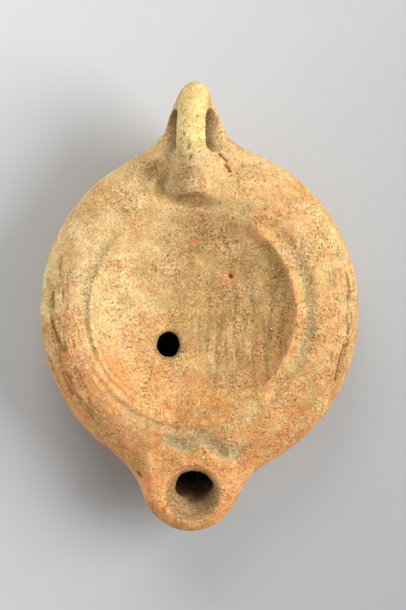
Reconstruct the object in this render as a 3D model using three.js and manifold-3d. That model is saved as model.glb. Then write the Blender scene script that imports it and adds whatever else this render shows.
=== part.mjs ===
// A mould-made terracotta oil lamp of Roman form: a round, hollow body on a flat foot, a sunken
// plain discus with a filling hole off its middle, a short round-ended nozzle with a wick hole, and a
// pierced handle at the back. It was pressed in two halves and fired as one piece, so it is one solid.
//
// Sizes are in millimetres. The origin is the middle of the foot, on the surface the lamp stands on.
// +Z is up, +Y points to the handle and -Y to the nozzle.
import * as THREE from "three";
import { mergeVertices } from "three/addons/utils/BufferGeometryUtils.js";
import Module from "manifold-3d";

const { clamp, lerp, smoothstep, radToDeg } = THREE.MathUtils;
const degrees = THREE.MathUtils.degToRad;

// Body
const BELLY_WIDTH = 76.2;
const BELLY_LENGTH = 80.2;
const BELLY_HEIGHT = 15; // where the body is widest
const SHOULDER_HEIGHT = 25.8; // the top of the shoulder, beside the discus
const WALL = 3;
const FLOOR = 3.4; // clay between the foot and the oil
const FLOOR_CORNER = 1.8; // extra clay where the floor turns up into the wall

// Foot
const FOOT_RADIUS = 17.2;
const FOOT_HEIGHT = 1.1;
const FOOT_EDGE = 0.5; // the bevel of its lower edge
const FOOT_GROOVE_RADIUS = 12.6;
const FOOT_GROOVE_WIDTH = 1.7;
const FOOT_GROOVE_DEPTH = 0.6;

// Seam between the two moulds, above which the upper half sits a little inside the lower one
const SEAM_RISE = 6.2; // above the widest line
const SEAM_STEP = 0.35;
const SEAM_FADE = 5;

// Discus and its raised rim. The upper mould lay a little to the left of the lower one.
const DISCUS_RADIUS = 24.2; // at the crest of the rim
const DISCUS_SHIFT = -1.3;
const RIM_RISE = 0.9; // the crest above the shoulder
const RIM_OUTER_WIDTH = 1.2; // from the crest to the groove around it
const RIM_INNER_WIDTH = 3; // from the crest to the discus
const RIM_GROOVE_WIDTH = 2.4;
const RIM_GROOVE_DEPTH = 0.35;
const DISCUS_DROP = 2.7; // the edge of the discus below the shoulder
const DISCUS_DISH = 2.2; // how much deeper the middle lies
const DISCUS_THICKNESS = 2.8;

// The rim is worn to a soft bank all round, but for a stretch on its right
const RIM_WEAR = 0.9; // at most, as a share of the way from the sharp rim to the bank
const RIM_SHARP_TURN = 31; // degrees from +X to each side that are not worn
const RIM_WORN_TURN = 62; // degrees from +X where the wear is full
const BANK_INNER_RADIUS = 15;
const BANK_OUTER_RADIUS = 28;

// Filling hole
const FILLING_HOLE_DIAMETER = 6;
const FILLING_HOLE_X = -7.3;
const FILLING_HOLE_Y = -7.9;
const FILLING_HOLE_LIP = 0.3;

// Nozzle
const NOZZLE_REACH = 52.4; // its tip from the middle of the foot
const NOZZLE_SHIFT = -2.1;
const NOZZLE_END_RADIUS = 11.9;
const NOZZLE_ROOT_RADIUS = 14.6;
const NOZZLE_ROOT_REACH = 22;
const NOZZLE_ROOT_SHIFT = -2.6;
const NOZZLE_FILLET = 7; // how softly its sides leave the body
const NOZZLE_TIP_RISE = 2; // where its tip reaches furthest, above the widest line of the body
const NOZZLE_DROP = 3.1; // its top below the shoulder
const NOZZLE_EDGE = 4.6; // the rounding of its top edge
const NOZZLE_WALL = 3.6; // at its sides
const NOZZLE_FRONT_WALL = 6.8; // in front of the oil

// Wick hole, pushed in on a slant
const WICK_HOLE_DIAMETER = 11.4;
const WICK_HOLE_FROM_TIP = 8.8;
const WICK_HOLE_SHIFT = -1.7;
const WICK_HOLE_LIP = 0.9;
const WICK_HOLE_DEPTH = 9.5;
const WICK_HOLE_TAPER = 0.8; // its lower end, as a share of its mouth
const WICK_HOLE_SLANT_BACK = 3.4; // how far its lower end lies nearer to the oil
const WICK_HOLE_SLANT_SIDE = 1.3;

// Handle: a lug that narrows to a strap on top, pierced from side to side
const HANDLE_REACH = 53.7; // its back from the middle of the foot
const HANDLE_SHIFT = -2;
const HANDLE_LEAN = 1.1; // its base and its back lie this much to the right of the strap's front end
const HANDLE_HOLE_DIAMETER = 8.6;
const HANDLE_HOLE_RISE = 1.3; // its middle above the shoulder
const HANDLE_HOLE_LIP = 0.8;
const HANDLE_BACK = 7.2; // clay behind the hole
const HANDLE_STRAP_THICKNESS = 6.4; // clay above the hole
const HANDLE_STRAP_WIDTH = 7;
const HANDLE_BASE_WIDTH = 14.8; // level with the bottom of the hole
const HANDLE_EDGE = 3; // the rounding of its edges
const HANDLE_BACK_EDGE = 1.5; // how far in front of its back the flanks begin to spread
const HANDLE_FRONT_REACH = 26.8; // the front end of the strap, beside the discus
const HANDLE_FRONT_RADIUS = 2.9;
const HANDLE_FRONT_RISE = 2.7; // the strap's front end above the shoulder
const HANDLE_FRONT_SPREAD = 1.8; // how much its flanks spread where they meet the shoulder
const HANDLE_HEEL_RADIUS = 6.1; // the rounding of its back, below the hole
const HANDLE_FOOT_RADIUS = 4.4;
const HANDLE_BLEND = 4; // how softly its strap, back and foot run together
const HANDLE_WEB_RADIUS = 6.9; // the body's swelling under the handle, in plan
const HANDLE_WEB_ROOT_RADIUS = 9.6;
const HANDLE_WEB_FILLET = 8;

// Heights and places that follow from those sizes
const RIM_HEIGHT = SHOULDER_HEIGHT + RIM_RISE;
const DISCUS_EDGE_HEIGHT = SHOULDER_HEIGHT - DISCUS_DROP;
const DISCUS_FLAT_RADIUS = DISCUS_RADIUS - RIM_INNER_WIDTH;
const NOZZLE_TOP_HEIGHT = SHOULDER_HEIGHT - NOZZLE_DROP;
const HANDLE_HOLE = new THREE.Vector2(
  HANDLE_REACH - HANDLE_BACK - HANDLE_HOLE_DIAMETER / 2, SHOULDER_HEIGHT + HANDLE_HOLE_RISE);
const HANDLE_TOP_HEIGHT = HANDLE_HOLE.y + HANDLE_HOLE_DIAMETER / 2 + HANDLE_STRAP_THICKNESS;
const MIDDLE = new THREE.Vector2(0, 0);
const DISCUS_MIDDLE = new THREE.Vector2(DISCUS_SHIFT, 0);

const FIRED_CLAY = new THREE.MeshStandardMaterial({ color: 0xc89a5e, roughness: 0.92, metalness: 0 });

// Distances in a plane, negative inside

function smoothUnion(a, b, softness) {
  const overlap = Math.max(softness - Math.abs(a - b), 0) / softness;
  return Math.min(a, b) - (overlap * overlap * softness) / 4;
}

function ellipseDistance(x, y, halfWidth, halfLength) {
  const scale = Math.hypot(x / halfWidth, y / halfLength);
  return scale === 0 ? -Math.min(halfWidth, halfLength) : Math.hypot(x, y) * (1 - 1 / scale);
}

// A bar with round ends of two sizes, from one centre to the other
function barDistance(x, y, from, fromRadius, to, toRadius) {
  const axis = to.clone().sub(from);
  const length = axis.length();
  axis.normalize();
  const along = (x - from.x) * axis.x + (y - from.y) * axis.y;
  const across = Math.abs((x - from.x) * axis.y - (y - from.y) * axis.x);
  const taper = clamp((fromRadius - toRadius) / length, -0.95, 0.95);
  const nearest = clamp(along - (across * taper) / Math.sqrt(1 - taper * taper), 0, length);
  return Math.hypot(along - nearest, across) - lerp(fromRadius, toRadius, nearest / length);
}

// Where a ray from a point at an angle leaves the form
function edgeOf(distance, from, angle) {
  const direction = new THREE.Vector2(Math.cos(angle), Math.sin(angle));
  const point = new THREE.Vector2();
  let inside = 0;
  let outside = BELLY_WIDTH + NOZZLE_REACH + HANDLE_REACH;
  for (let step = 0; step < 40; step++) {
    const middle = (inside + outside) / 2;
    point.copy(direction).multiplyScalar(middle).add(from);
    if (distance(point.x, point.y) < 0) inside = middle;
    else outside = middle;
  }
  return point;
}

// The body's plan, drawn in by a wall for the hollow inside

function bellyPlan(x, y, wall = 0) {
  return ellipseDistance(x, y, BELLY_WIDTH / 2 - wall, BELLY_LENGTH / 2 - wall);
}

function oilPlan(x, y, wall, sideWall, frontWall) {
  const endRadius = NOZZLE_END_RADIUS - sideWall;
  const end = new THREE.Vector2(NOZZLE_SHIFT, endRadius + frontWall - NOZZLE_REACH);
  const root = new THREE.Vector2(NOZZLE_ROOT_SHIFT, -NOZZLE_ROOT_REACH);
  const nozzle = barDistance(x, y, end, endRadius, root, NOZZLE_ROOT_RADIUS - wall);
  return smoothUnion(bellyPlan(x, y, wall), nozzle, NOZZLE_FILLET);
}

function outerPlan(x, y) {
  const end = new THREE.Vector2(HANDLE_SHIFT + HANDLE_LEAN / 2, HANDLE_HOLE.x - HANDLE_WEB_RADIUS / 2);
  const root = new THREE.Vector2(HANDLE_SHIFT, BELLY_LENGTH / 4);
  const web = barDistance(x, y, end, HANDLE_WEB_RADIUS, root, HANDLE_WEB_ROOT_RADIUS);
  return smoothUnion(oilPlan(x, y, 0, 0, 0), web, HANDLE_WEB_FILLET);
}

function innerPlan(x, y) {
  return oilPlan(x, y, WALL, NOZZLE_WALL, NOZZLE_FRONT_WALL);
}

// How much of a direction belongs to the nozzle: 0 on the round body and 1 at the tip
function nozzleShare(angle) {
  if (Math.sin(angle) > 0) return 0;
  const reach = edgeOf((x, y) => oilPlan(x, y, 0, 0, 0), MIDDLE, angle).length();
  const belly = edgeOf(bellyPlan, MIDDLE, angle).length();
  return clamp((reach - belly) / (NOZZLE_REACH - BELLY_LENGTH / 2), 0, 1);
}

// Rings and shells

// Angles round a ring, closer together at the nozzle and the handle than at the sides
function ringAngles(count) {
  const crowding = 0.21;
  return Array.from({ length: count }, (_, i) => {
    const even = (2 * Math.PI * i) / count;
    return even + crowding * Math.sin(2 * even);
  });
}

function circleRing(count, middle, radius, z) {
  return ringAngles(count).map((angle) => ({
    angle,
    point: new THREE.Vector3(
      middle.x + radius * Math.cos(angle), middle.y + radius * Math.sin(angle), z),
  }));
}

// Joins rings of any counts, each in order of angle, and closes both ends with a point. Faces point
// out when the rings turn anticlockwise as seen from the last point.
function shellOf(firstPole, rings, lastPole) {
  const positions = [];
  const faces = [];
  const add = (point) => positions.push(point.x, point.y, point.z) / 3 - 1;
  const at = (ring, i) => ring[i % ring.length];
  const turned = (ring, i) => at(ring, i).angle + 2 * Math.PI * Math.floor(i / ring.length);
  const first = add(firstPole);
  const levels = rings.map((ring) => ring.map(({ angle, point }) => ({ angle, index: add(point) })));
  const last = add(lastPole);

  levels[0].forEach((entry, i) => faces.push(first, at(levels[0], i + 1).index, entry.index));
  for (let level = 0; level + 1 < levels.length; level++) {
    const below = levels[level];
    const above = levels[level + 1];
    let b = 0;
    let a = 0;
    while (b < below.length || a < above.length) {
      const stepBelow = a === above.length
        || (b < below.length && turned(below, b + 1) <= turned(above, a + 1));
      faces.push(at(below, b).index, at(stepBelow ? below : above, (stepBelow ? b : a) + 1).index,
        at(above, a).index);
      if (stepBelow) b++;
      else a++;
    }
  }
  const top = levels[levels.length - 1];
  top.forEach((entry, i) => faces.push(entry.index, at(top, i + 1).index, last));

  const geometry = new THREE.BufferGeometry();
  geometry.setAttribute("position", new THREE.Float32BufferAttribute(positions, 3));
  geometry.setIndex(faces);
  return geometry;
}

// One side of the body, from its widest line in to a circle beside the discus

function sectionAt(angle, plan, innerRadius, shoulder, nozzleTop) {
  const nozzle = nozzleShare(angle);
  const outer = edgeOf(plan, MIDDLE, angle);
  const inner = new THREE.Vector2(Math.cos(angle), Math.sin(angle))
    .multiplyScalar(innerRadius)
    .add(DISCUS_MIDDLE);
  const span = outer.distanceTo(inner);
  return {
    angle,
    outer,
    inner,
    span,
    shoulder,
    widest: BELLY_HEIGHT + NOZZLE_TIP_RISE * nozzle,
    edgeTop: lerp(shoulder, nozzleTop, smoothstep(nozzle, 0, 0.7)),
    edge: lerp(span, Math.min(NOZZLE_EDGE, span), smoothstep(nozzle, 0, 0.8)),
  };
}

// Rounds the edge up from the widest line, then runs flat to the discus, as share goes from 0 to 1
function upperPoint(section, share, inset = 0) {
  const { outer, inner, span, shoulder, widest, edgeTop, edge } = section;
  const depth = clamp((share * span) / edge, 0, 1);
  const rise = Math.sqrt(1 - (1 - depth) * (1 - depth));
  const plan = outer.clone().lerp(inner, share).lerp(inner, inset / span);
  return new THREE.Vector3(plan.x, plan.y, lerp(widest, lerp(edgeTop, shoulder, share * share), rise));
}

function lowerPoint(section, part, footRadius, footHeight) {
  const lastTurn = degrees(68);
  const turn = lastTurn * part;
  const reach = section.outer.length();
  const across = (reach - footRadius) / (1 - Math.cos(lastTurn));
  const down = (section.widest - footHeight) / Math.sin(lastTurn);
  const radius = reach - across * (1 - Math.cos(turn));
  return new THREE.Vector3(radius * Math.cos(section.angle), radius * Math.sin(section.angle),
    section.widest - down * Math.sin(turn));
}

function ringOf(sections, pointOf) {
  return sections.map((section) => ({ angle: section.angle, point: pointOf(section) }));
}

// The share of a section at which its edge has turned by an angle
function shareAtTurn(section, turn) {
  return (section.edge / section.span) * (1 - Math.cos(degrees(turn)));
}

// The body's outside, with the nozzle and the swelling under the handle

function footRings() {
  const outer = FOOT_GROOVE_RADIUS + FOOT_GROOVE_WIDTH / 2;
  const inner = FOOT_GROOVE_RADIUS - FOOT_GROOVE_WIDTH / 2;
  const slope = FOOT_GROOVE_WIDTH / 4;
  return [
    [inner, 0],
    [inner + slope, FOOT_GROOVE_DEPTH],
    [outer - slope, FOOT_GROOVE_DEPTH],
    [outer, 0],
    [FOOT_RADIUS - FOOT_EDGE, 0],
    [FOOT_RADIUS, FOOT_EDGE],
    [FOOT_RADIUS, FOOT_HEIGHT],
  ].map(([radius, z]) => circleRing(48, MIDDLE, radius, z));
}

function seamInset(section, share) {
  const seam = section.widest + SEAM_RISE;
  const { z } = upperPoint(section, share);
  return z > seam ? SEAM_STEP * (1 - smoothstep(z, seam, seam + SEAM_FADE)) : 0;
}

function bodyRings() {
  const innerRadius = DISCUS_RADIUS + RIM_OUTER_WIDTH + RIM_GROOVE_WIDTH;
  const sections = ringAngles(96).map((angle) =>
    sectionAt(angle, outerPlan, innerRadius, SHOULDER_HEIGHT, NOZZLE_TOP_HEIGHT));
  const lower = [1, 0.86, 0.71, 0.56, 0.42, 0.28, 0.14, 0].map((part) =>
    ringOf(sections, (section) => lowerPoint(section, part, FOOT_RADIUS + FOOT_EDGE / 2, FOOT_HEIGHT)));
  const upperAt = (section, share) => upperPoint(section, share, seamInset(section, share));
  const edge = [12, 24, 36, 48, 60, 74].map((turn) =>
    ringOf(sections, (section) => upperAt(section, shareAtTurn(section, turn))));
  const flat = [0.18, 0.44, 0.72, 1].map((part) =>
    ringOf(sections, (section) => upperAt(section, lerp(shareAtTurn(section, 74), 1, part))));
  return [...lower, ...edge, ...flat];
}

function dishDepth(radius) {
  return DISCUS_DISH * (1 - (radius / DISCUS_FLAT_RADIUS) ** 2);
}

function rimWear(angle) {
  const turn = Math.abs(radToDeg(Math.atan2(Math.sin(angle), Math.cos(angle))));
  return RIM_WEAR * smoothstep(turn, RIM_SHARP_TURN, RIM_WORN_TURN);
}

function bankHeight(radius) {
  const foot = DISCUS_EDGE_HEIGHT - dishDepth(BANK_INNER_RADIUS);
  return lerp(foot, SHOULDER_HEIGHT, smoothstep(radius, BANK_INNER_RADIUS, BANK_OUTER_RADIUS));
}

function wornRing(count, radius, z) {
  const ring = circleRing(count, DISCUS_MIDDLE, radius, z);
  if (radius < BANK_INNER_RADIUS) return ring;
  ring.forEach(({ angle, point }) => point.setZ(lerp(z, bankHeight(radius), rimWear(angle))));
  return ring;
}

// The rim's groove, crest and inner wall, then the dished discus
function discusRings() {
  const groove = SHOULDER_HEIGHT - RIM_GROOVE_DEPTH;
  const wave = (share) => (1 - Math.cos(Math.PI * share)) / 2;
  const outside = [-0.9, 0, 0.35, 0.65].map((share) =>
    [DISCUS_RADIUS + RIM_OUTER_WIDTH * (1 - share), lerp(groove, RIM_HEIGHT, wave(Math.max(share, 0)))]);
  const inside = [0, 0.2, 0.4, 0.6, 0.8, 1].map((share) =>
    [DISCUS_RADIUS - RIM_INNER_WIDTH * share, lerp(RIM_HEIGHT, DISCUS_EDGE_HEIGHT, wave(share))]);
  const dish = [0.82, 0.58, 0.3].map((part) =>
    [DISCUS_FLAT_RADIUS * part, DISCUS_EDGE_HEIGHT - dishDepth(DISCUS_FLAT_RADIUS * part)]);
  return [...outside, ...inside, ...dish].map(([radius, z]) =>
    wornRing(Math.max(16, Math.round(72 * (radius / DISCUS_RADIUS))), radius, z));
}

function bodyGeometry() {
  return shellOf(
    new THREE.Vector3(MIDDLE.x, MIDDLE.y, 0),
    [...footRings(), ...bodyRings(), ...discusRings()],
    new THREE.Vector3(DISCUS_MIDDLE.x, DISCUS_MIDDLE.y, DISCUS_EDGE_HEIGHT - DISCUS_DISH));
}

// The hollow: the same form, drawn in by the thickness of the wall

function hollowGeometry() {
  const ceiling = SHOULDER_HEIGHT - WALL;
  const innerRadius = DISCUS_RADIUS + RIM_OUTER_WIDTH;
  const floorRadius = FOOT_RADIUS - WALL - FLOOR_CORNER;
  const underDiscus = DISCUS_EDGE_HEIGHT - DISCUS_THICKNESS;
  const sections = ringAngles(60).map((angle) =>
    sectionAt(angle, innerPlan, innerRadius, ceiling, NOZZLE_TOP_HEIGHT - NOZZLE_WALL));
  const lower = [1, 0.78, 0.56, 0.36, 0.18, 0].map((part) =>
    ringOf(sections, (section) => lowerPoint(section, part, floorRadius, FLOOR)));
  const edge = [20, 42, 66].map((turn) =>
    ringOf(sections, (section) => upperPoint(section, shareAtTurn(section, turn))));
  const roof = ringOf(sections, (section) => upperPoint(section, 1));
  const under = [1, 0.55].map((part) => {
    const radius = DISCUS_FLAT_RADIUS * part;
    return circleRing(Math.round(44 * part), DISCUS_MIDDLE, radius, underDiscus - dishDepth(radius));
  });
  return shellOf(
    new THREE.Vector3(MIDDLE.x, MIDDLE.y, FLOOR),
    [...lower, ...edge, roof, ...under],
    new THREE.Vector3(DISCUS_MIDDLE.x, DISCUS_MIDDLE.y, underDiscus - DISCUS_DISH));
}

// The handle, drawn from the side as a rounded outline and given a thickness that grows downwards

function handleSide(y, z) {
  const lug = ellipseDistance(y - HANDLE_HOLE.x, z - HANDLE_HOLE.y,
    HANDLE_REACH - HANDLE_HOLE.x, HANDLE_TOP_HEIGHT - HANDLE_HOLE.y);
  const crownRadius = HANDLE_STRAP_THICKNESS * 0.72;
  const crown = new THREE.Vector2(
    HANDLE_HOLE.x - HANDLE_BACK_EDGE, HANDLE_TOP_HEIGHT - crownRadius - HANDLE_BLEND / 4);
  const front = new THREE.Vector2(
    HANDLE_FRONT_REACH + HANDLE_FRONT_RADIUS, SHOULDER_HEIGHT + HANDLE_FRONT_RISE - HANDLE_FRONT_RADIUS);
  const foot = new THREE.Vector2(BELLY_LENGTH / 2 - WALL, BELLY_HEIGHT);
  const heel = new THREE.Vector2(
    HANDLE_HOLE.x + HANDLE_BACK_EDGE / 2, HANDLE_HOLE.y - HANDLE_HOLE_DIAMETER / 2 - HANDLE_BACK_EDGE);
  const strap = barDistance(y, z, crown, crownRadius, front, HANDLE_FRONT_RADIUS);
  const base = barDistance(y, z, front, HANDLE_FRONT_RADIUS, foot, HANDLE_FOOT_RADIUS);
  const back = barDistance(y, z, heel, HANDLE_HEEL_RADIUS, foot, HANDLE_FOOT_RADIUS);
  return [strap, base, back].reduce((sum, bar) => smoothUnion(sum, bar, HANDLE_BLEND), lug);
}

function handleHalfWidth(y, z) {
  const depth = clamp(-handleSide(y, z) / HANDLE_EDGE, 0, 1);
  const rounding = Math.sqrt(1 - (1 - depth) * (1 - depth));
  const holeRadius = HANDLE_HOLE_DIAMETER / 2;
  const spreadEnd = HANDLE_REACH - HANDLE_BACK_EDGE;
  const behind = clamp((spreadEnd - y) / (spreadEnd - HANDLE_HOLE.x), 0, 1.08);
  const front = 1 - smoothstep(y, HANDLE_FRONT_REACH + HANDLE_FRONT_RADIUS, HANDLE_HOLE.x - holeRadius);
  const low = 1 - smoothstep(z, HANDLE_HOLE.y - holeRadius, HANDLE_HOLE.y + holeRadius);
  const nearShoulder = 1 - smoothstep(z, SHOULDER_HEIGHT - HANDLE_EDGE, SHOULDER_HEIGHT + HANDLE_EDGE);
  const spread = ((HANDLE_BASE_WIDTH - HANDLE_STRAP_WIDTH) / 2) * behind * (1 - front) * low;
  return rounding * (HANDLE_STRAP_WIDTH / 2 + spread + HANDLE_FRONT_SPREAD * front * nearShoulder);
}

function handleMiddle(y, z) {
  const low = 1 - smoothstep(z, BELLY_HEIGHT, HANDLE_TOP_HEIGHT);
  const back = smoothstep(y, HANDLE_HOLE.x, HANDLE_REACH);
  return HANDLE_SHIFT + HANDLE_LEAN * Math.max(low, back);
}

function handlePoint(y, z, side) {
  return new THREE.Vector3(handleMiddle(y, z) + side * handleHalfWidth(y, z), y, z);
}

function handleGeometry() {
  const outline = Array.from({ length: 44 }, (_, i) => {
    const angle = (2 * Math.PI * i) / 44;
    return { angle, edge: edgeOf(handleSide, HANDLE_HOLE, angle) };
  });
  const ringAt = (part, side) => outline.map(({ angle, edge }) => {
    const at = HANDLE_HOLE.clone().lerp(edge, part);
    return { angle, point: handlePoint(at.x, at.y, side) };
  });
  const parts = [0.4, 0.62, 0.78, 0.88, 0.95, 0.985];
  return shellOf(
    handlePoint(HANDLE_HOLE.x, HANDLE_HOLE.y, -1),
    [
      ...parts.map((part) => ringAt(part, -1)),
      ringAt(1, 0),
      ...parts.map((part) => ringAt(part, 1)).reverse(),
    ],
    handlePoint(HANDLE_HOLE.x, HANDLE_HOLE.y, 1));
}

// Holes

// A turned tool along +Z with its mouth at height 0, below which the hole widens by its lip
function holeTool(radius, lowerRadius, depth, lip, sides) {
  const above = 3;
  return new THREE.LatheGeometry([
    new THREE.Vector2(0, -depth),
    new THREE.Vector2(lowerRadius, -depth),
    new THREE.Vector2(radius, -lip),
    new THREE.Vector2(radius + lip + above, above),
    new THREE.Vector2(0, above),
  ], sides).rotateX(Math.PI / 2);
}

function fillingHoleTool() {
  const radius = FILLING_HOLE_DIAMETER / 2;
  const fromMiddle = Math.hypot(FILLING_HOLE_X - DISCUS_MIDDLE.x, FILLING_HOLE_Y - DISCUS_MIDDLE.y);
  return holeTool(radius, radius, DISCUS_THICKNESS * 2, FILLING_HOLE_LIP, 24)
    .translate(FILLING_HOLE_X, FILLING_HOLE_Y, DISCUS_EDGE_HEIGHT - dishDepth(fromMiddle));
}

function wickHoleTool() {
  const radius = WICK_HOLE_DIAMETER / 2;
  const slant = new THREE.Matrix4().makeShear(
    0, 0, 0, 0, -WICK_HOLE_SLANT_SIDE / WICK_HOLE_DEPTH, -WICK_HOLE_SLANT_BACK / WICK_HOLE_DEPTH);
  return holeTool(radius, radius * WICK_HOLE_TAPER, WICK_HOLE_DEPTH, WICK_HOLE_LIP, 36)
    .applyMatrix4(slant)
    .translate(WICK_HOLE_SHIFT, WICK_HOLE_FROM_TIP - NOZZLE_REACH, NOZZLE_TOP_HEIGHT);
}

// Narrowest in the middle of the strap and wider towards both flanks
function handleHoleTool() {
  const stretches = [-HANDLE_BASE_WIDTH, -HANDLE_STRAP_WIDTH, -HANDLE_STRAP_WIDTH / 2, 0,
    HANDLE_STRAP_WIDTH / 2, HANDLE_STRAP_WIDTH, HANDLE_BASE_WIDTH];
  const radiusAt = (x) =>
    HANDLE_HOLE_DIAMETER / 2 + HANDLE_HOLE_LIP * Math.min((x / HANDLE_STRAP_WIDTH) ** 2, 2);
  return new THREE.LatheGeometry([
    new THREE.Vector2(0, stretches[0]),
    ...stretches.map((x) => new THREE.Vector2(radiusAt(x), x)),
    new THREE.Vector2(0, stretches[stretches.length - 1]),
  ], 28)
    .rotateZ(-Math.PI / 2)
    .translate(HANDLE_SHIFT, HANDLE_HOLE.x, HANDLE_HOLE.y);
}

// Joining and cutting

const wasm = await Module();
wasm.setup();

function solidOf(geometry) {
  const bare = geometry.clone();
  bare.deleteAttribute("normal");
  bare.deleteAttribute("uv");
  const merged = mergeVertices(bare, 1e-4);
  return new wasm.Manifold(new wasm.Mesh({
    numProp: 3,
    vertProperties: new Float32Array(merged.attributes.position.array),
    triVerts: new Uint32Array(merged.index.array),
  }));
}

function geometryOf(solid) {
  const mesh = solid.getMesh();
  const geometry = new THREE.BufferGeometry();
  geometry.setAttribute("position", new THREE.Float32BufferAttribute(mesh.vertProperties, 3));
  geometry.setIndex(Array.from(mesh.triVerts));
  geometry.computeVertexNormals();
  return geometry;
}

function lampGeometry() {
  const cuts = [hollowGeometry(), fillingHoleTool(), wickHoleTool(), handleHoleTool()];
  const clay = solidOf(bodyGeometry()).add(solidOf(handleGeometry()));
  return geometryOf(cuts.reduce((solid, cut) => solid.subtract(solidOf(cut)), clay));
}

const lamp = new THREE.Mesh(lampGeometry(), FIRED_CLAY);
lamp.name = "lamp";

const oilLamp = new THREE.Group();
oilLamp.name = "oil_lamp";
oilLamp.add(lamp);

export default oilLamp;
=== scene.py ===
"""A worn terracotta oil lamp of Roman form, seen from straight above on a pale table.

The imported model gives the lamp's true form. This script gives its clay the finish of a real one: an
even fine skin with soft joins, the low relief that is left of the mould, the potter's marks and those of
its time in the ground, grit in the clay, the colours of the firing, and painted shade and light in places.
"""

import math

import bmesh
import bpy
import numpy as np
from mathutils import Matrix, Vector
from mathutils.bvhtree import BVHTree


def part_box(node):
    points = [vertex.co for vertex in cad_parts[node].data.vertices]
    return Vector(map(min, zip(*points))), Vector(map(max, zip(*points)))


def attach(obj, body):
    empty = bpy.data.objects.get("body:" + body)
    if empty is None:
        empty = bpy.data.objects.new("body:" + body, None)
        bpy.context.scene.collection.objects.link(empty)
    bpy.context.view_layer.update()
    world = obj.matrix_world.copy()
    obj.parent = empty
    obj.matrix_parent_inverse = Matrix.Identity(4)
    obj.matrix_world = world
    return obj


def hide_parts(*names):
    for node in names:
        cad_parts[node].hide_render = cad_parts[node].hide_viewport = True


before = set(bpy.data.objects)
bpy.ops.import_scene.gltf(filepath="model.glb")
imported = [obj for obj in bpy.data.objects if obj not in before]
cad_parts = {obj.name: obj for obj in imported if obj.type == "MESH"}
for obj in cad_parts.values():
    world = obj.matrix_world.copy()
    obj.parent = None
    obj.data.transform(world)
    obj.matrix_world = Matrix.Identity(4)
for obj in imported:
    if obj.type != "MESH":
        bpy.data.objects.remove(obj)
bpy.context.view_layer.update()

MM = 0.001

# The lamp's places, in metres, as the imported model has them
LOW, HIGH = np.array(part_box("lamp"))
DISCUS_MIDDLE = (-1.3 * MM, 0.0)
DISCUS_RADIUS = 24.2 * MM
BELLY_HALF_WIDTH = 38.1 * MM
BELLY_HALF_LENGTH = 40.1 * MM
WIDEST_HEIGHT = 15 * MM
NOZZLE_TOP_HEIGHT = 22.7 * MM
WICK_HOLE_MIDDLE = (-1.7 * MM, -43.6 * MM)
WICK_HOLE_RADIUS = 5.7 * MM
WICK_HOLE_DEPTH = 9.5 * MM
WICK_HOLE_SLANT = (1.3 * MM, 3.4 * MM)
WICK_HOLE_NARROWING = 2.8 * MM
FILLING_HOLE_MIDDLE = (-7.3 * MM, -7.9 * MM)
FILLING_HOLE_RADIUS = 3 * MM
HANDLE_HOLE_AXIS = (42.2 * MM, 27.1 * MM)
HANDLE_HOLE_RADIUS = 4.3 * MM

# The photograph's frame, its paper and its light
FRAME_HEIGHT = 610
PIXEL = 0.238 * MM  # at the lamp's widest line
FRAME_MIDDLE = (0.88 * MM, 1.43 * MM)
CAMERA_HEIGHT = 600 * MM
SENSOR_HEIGHT = 36.0
TABLE_HALF_WIDTH = 1.5
PAPER_TONE = 0.6
# The paper's fall in tone is painted light falloff
PAPER_LIGHT_FALLOFF = (-2.98, 1.38, 0.0)  # change of tone per metre
PAPER_TINT = (0.97, 0.99)  # red and green as shares of blue
LIGHT_DISTANCE = 1.2
# Name, azimuth and elevation in degrees, width in metres and power in watts
LIGHTS = [
    ("right_light", 5, 35, 0.9, 14.4),
    ("far_light", 100, 38, 0.8, 5.6),
    ("near_card", 205, 9, 0.4, 2.2),
]
WORLD_STRENGTH = 0.33

# The clay skin: how fine, how far its edges are rubbed, and how many of its faces are kept
SKIN_STEP = 0.4 * MM
RUB_ROUNDS = 9
HANDLE_FILLET = 5 * MM
FILLET_ROUNDS = 40
FILLET_PASSES = 6
OPEN_CHAMBER_TOP = 18.5 * MM  # below this the oil chamber counts as inside under an open hole too
UNDERSIDE_TOP = 13.5 * MM
INSIDE_FACES_KEPT = 0.12
UNDERSIDE_FACES_KEPT = 0.4
MOST_TRIANGLES = 192000
BUMP_HEIGHT = 0.36 * MM
SAND_DENSITY = 30000.0  # grains per square metre
SAND_EDGE = 0.4 * MM  # no grains this near to the ends of the lamp


# Plain helpers

def linear(red, green, blue):
    """A colour given in display bytes, as the shader wants it."""
    def channel(value):
        value /= 255
        return value / 12.92 if value <= 0.04045 else ((value + 0.055) / 1.055) ** 2.4
    return (channel(red), channel(green), channel(blue), 1.0)


def smooth_step(value, low, high):
    share = np.clip((value - low) / (high - low), 0.0, 1.0)
    return share * share * (3.0 - 2.0 * share)


def line_share(away, full, fade):
    """1 within full of a line and 0 beyond fade, on both sides of it."""
    return 1.0 - smooth_step(np.abs(away), full, fade)


def link_object(name, mesh):
    piece = bpy.data.objects.new(name, mesh)
    bpy.context.scene.collection.objects.link(piece)
    return piece


def settle(piece):
    """Turns a piece's live modifiers into its plain mesh."""
    graph = bpy.context.evaluated_depsgraph_get()
    graph.update()
    mesh = bpy.data.meshes.new_from_object(piece.evaluated_get(graph))
    piece.modifiers.clear()
    old = piece.data
    piece.data = mesh
    bpy.data.meshes.remove(old)
    return piece


def points_of(mesh):
    points = np.empty(len(mesh.vertices) * 3, np.float32)
    mesh.vertices.foreach_get("co", points)
    return points.reshape(-1, 3).astype(np.float64)


def set_points(mesh, points):
    mesh.vertices.foreach_set("co", np.asarray(points, np.float32).ravel())
    mesh.update()


def normals_of(mesh):
    normals = np.empty(len(mesh.vertices) * 3, np.float32)
    mesh.vertex_normals.foreach_get("vector", normals)
    return normals.reshape(-1, 3).astype(np.float64)


def edges_of(mesh):
    edges = np.empty(len(mesh.edges) * 2, np.int32)
    mesh.edges.foreach_get("vertices", edges)
    return edges.reshape(-1, 2)


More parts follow.
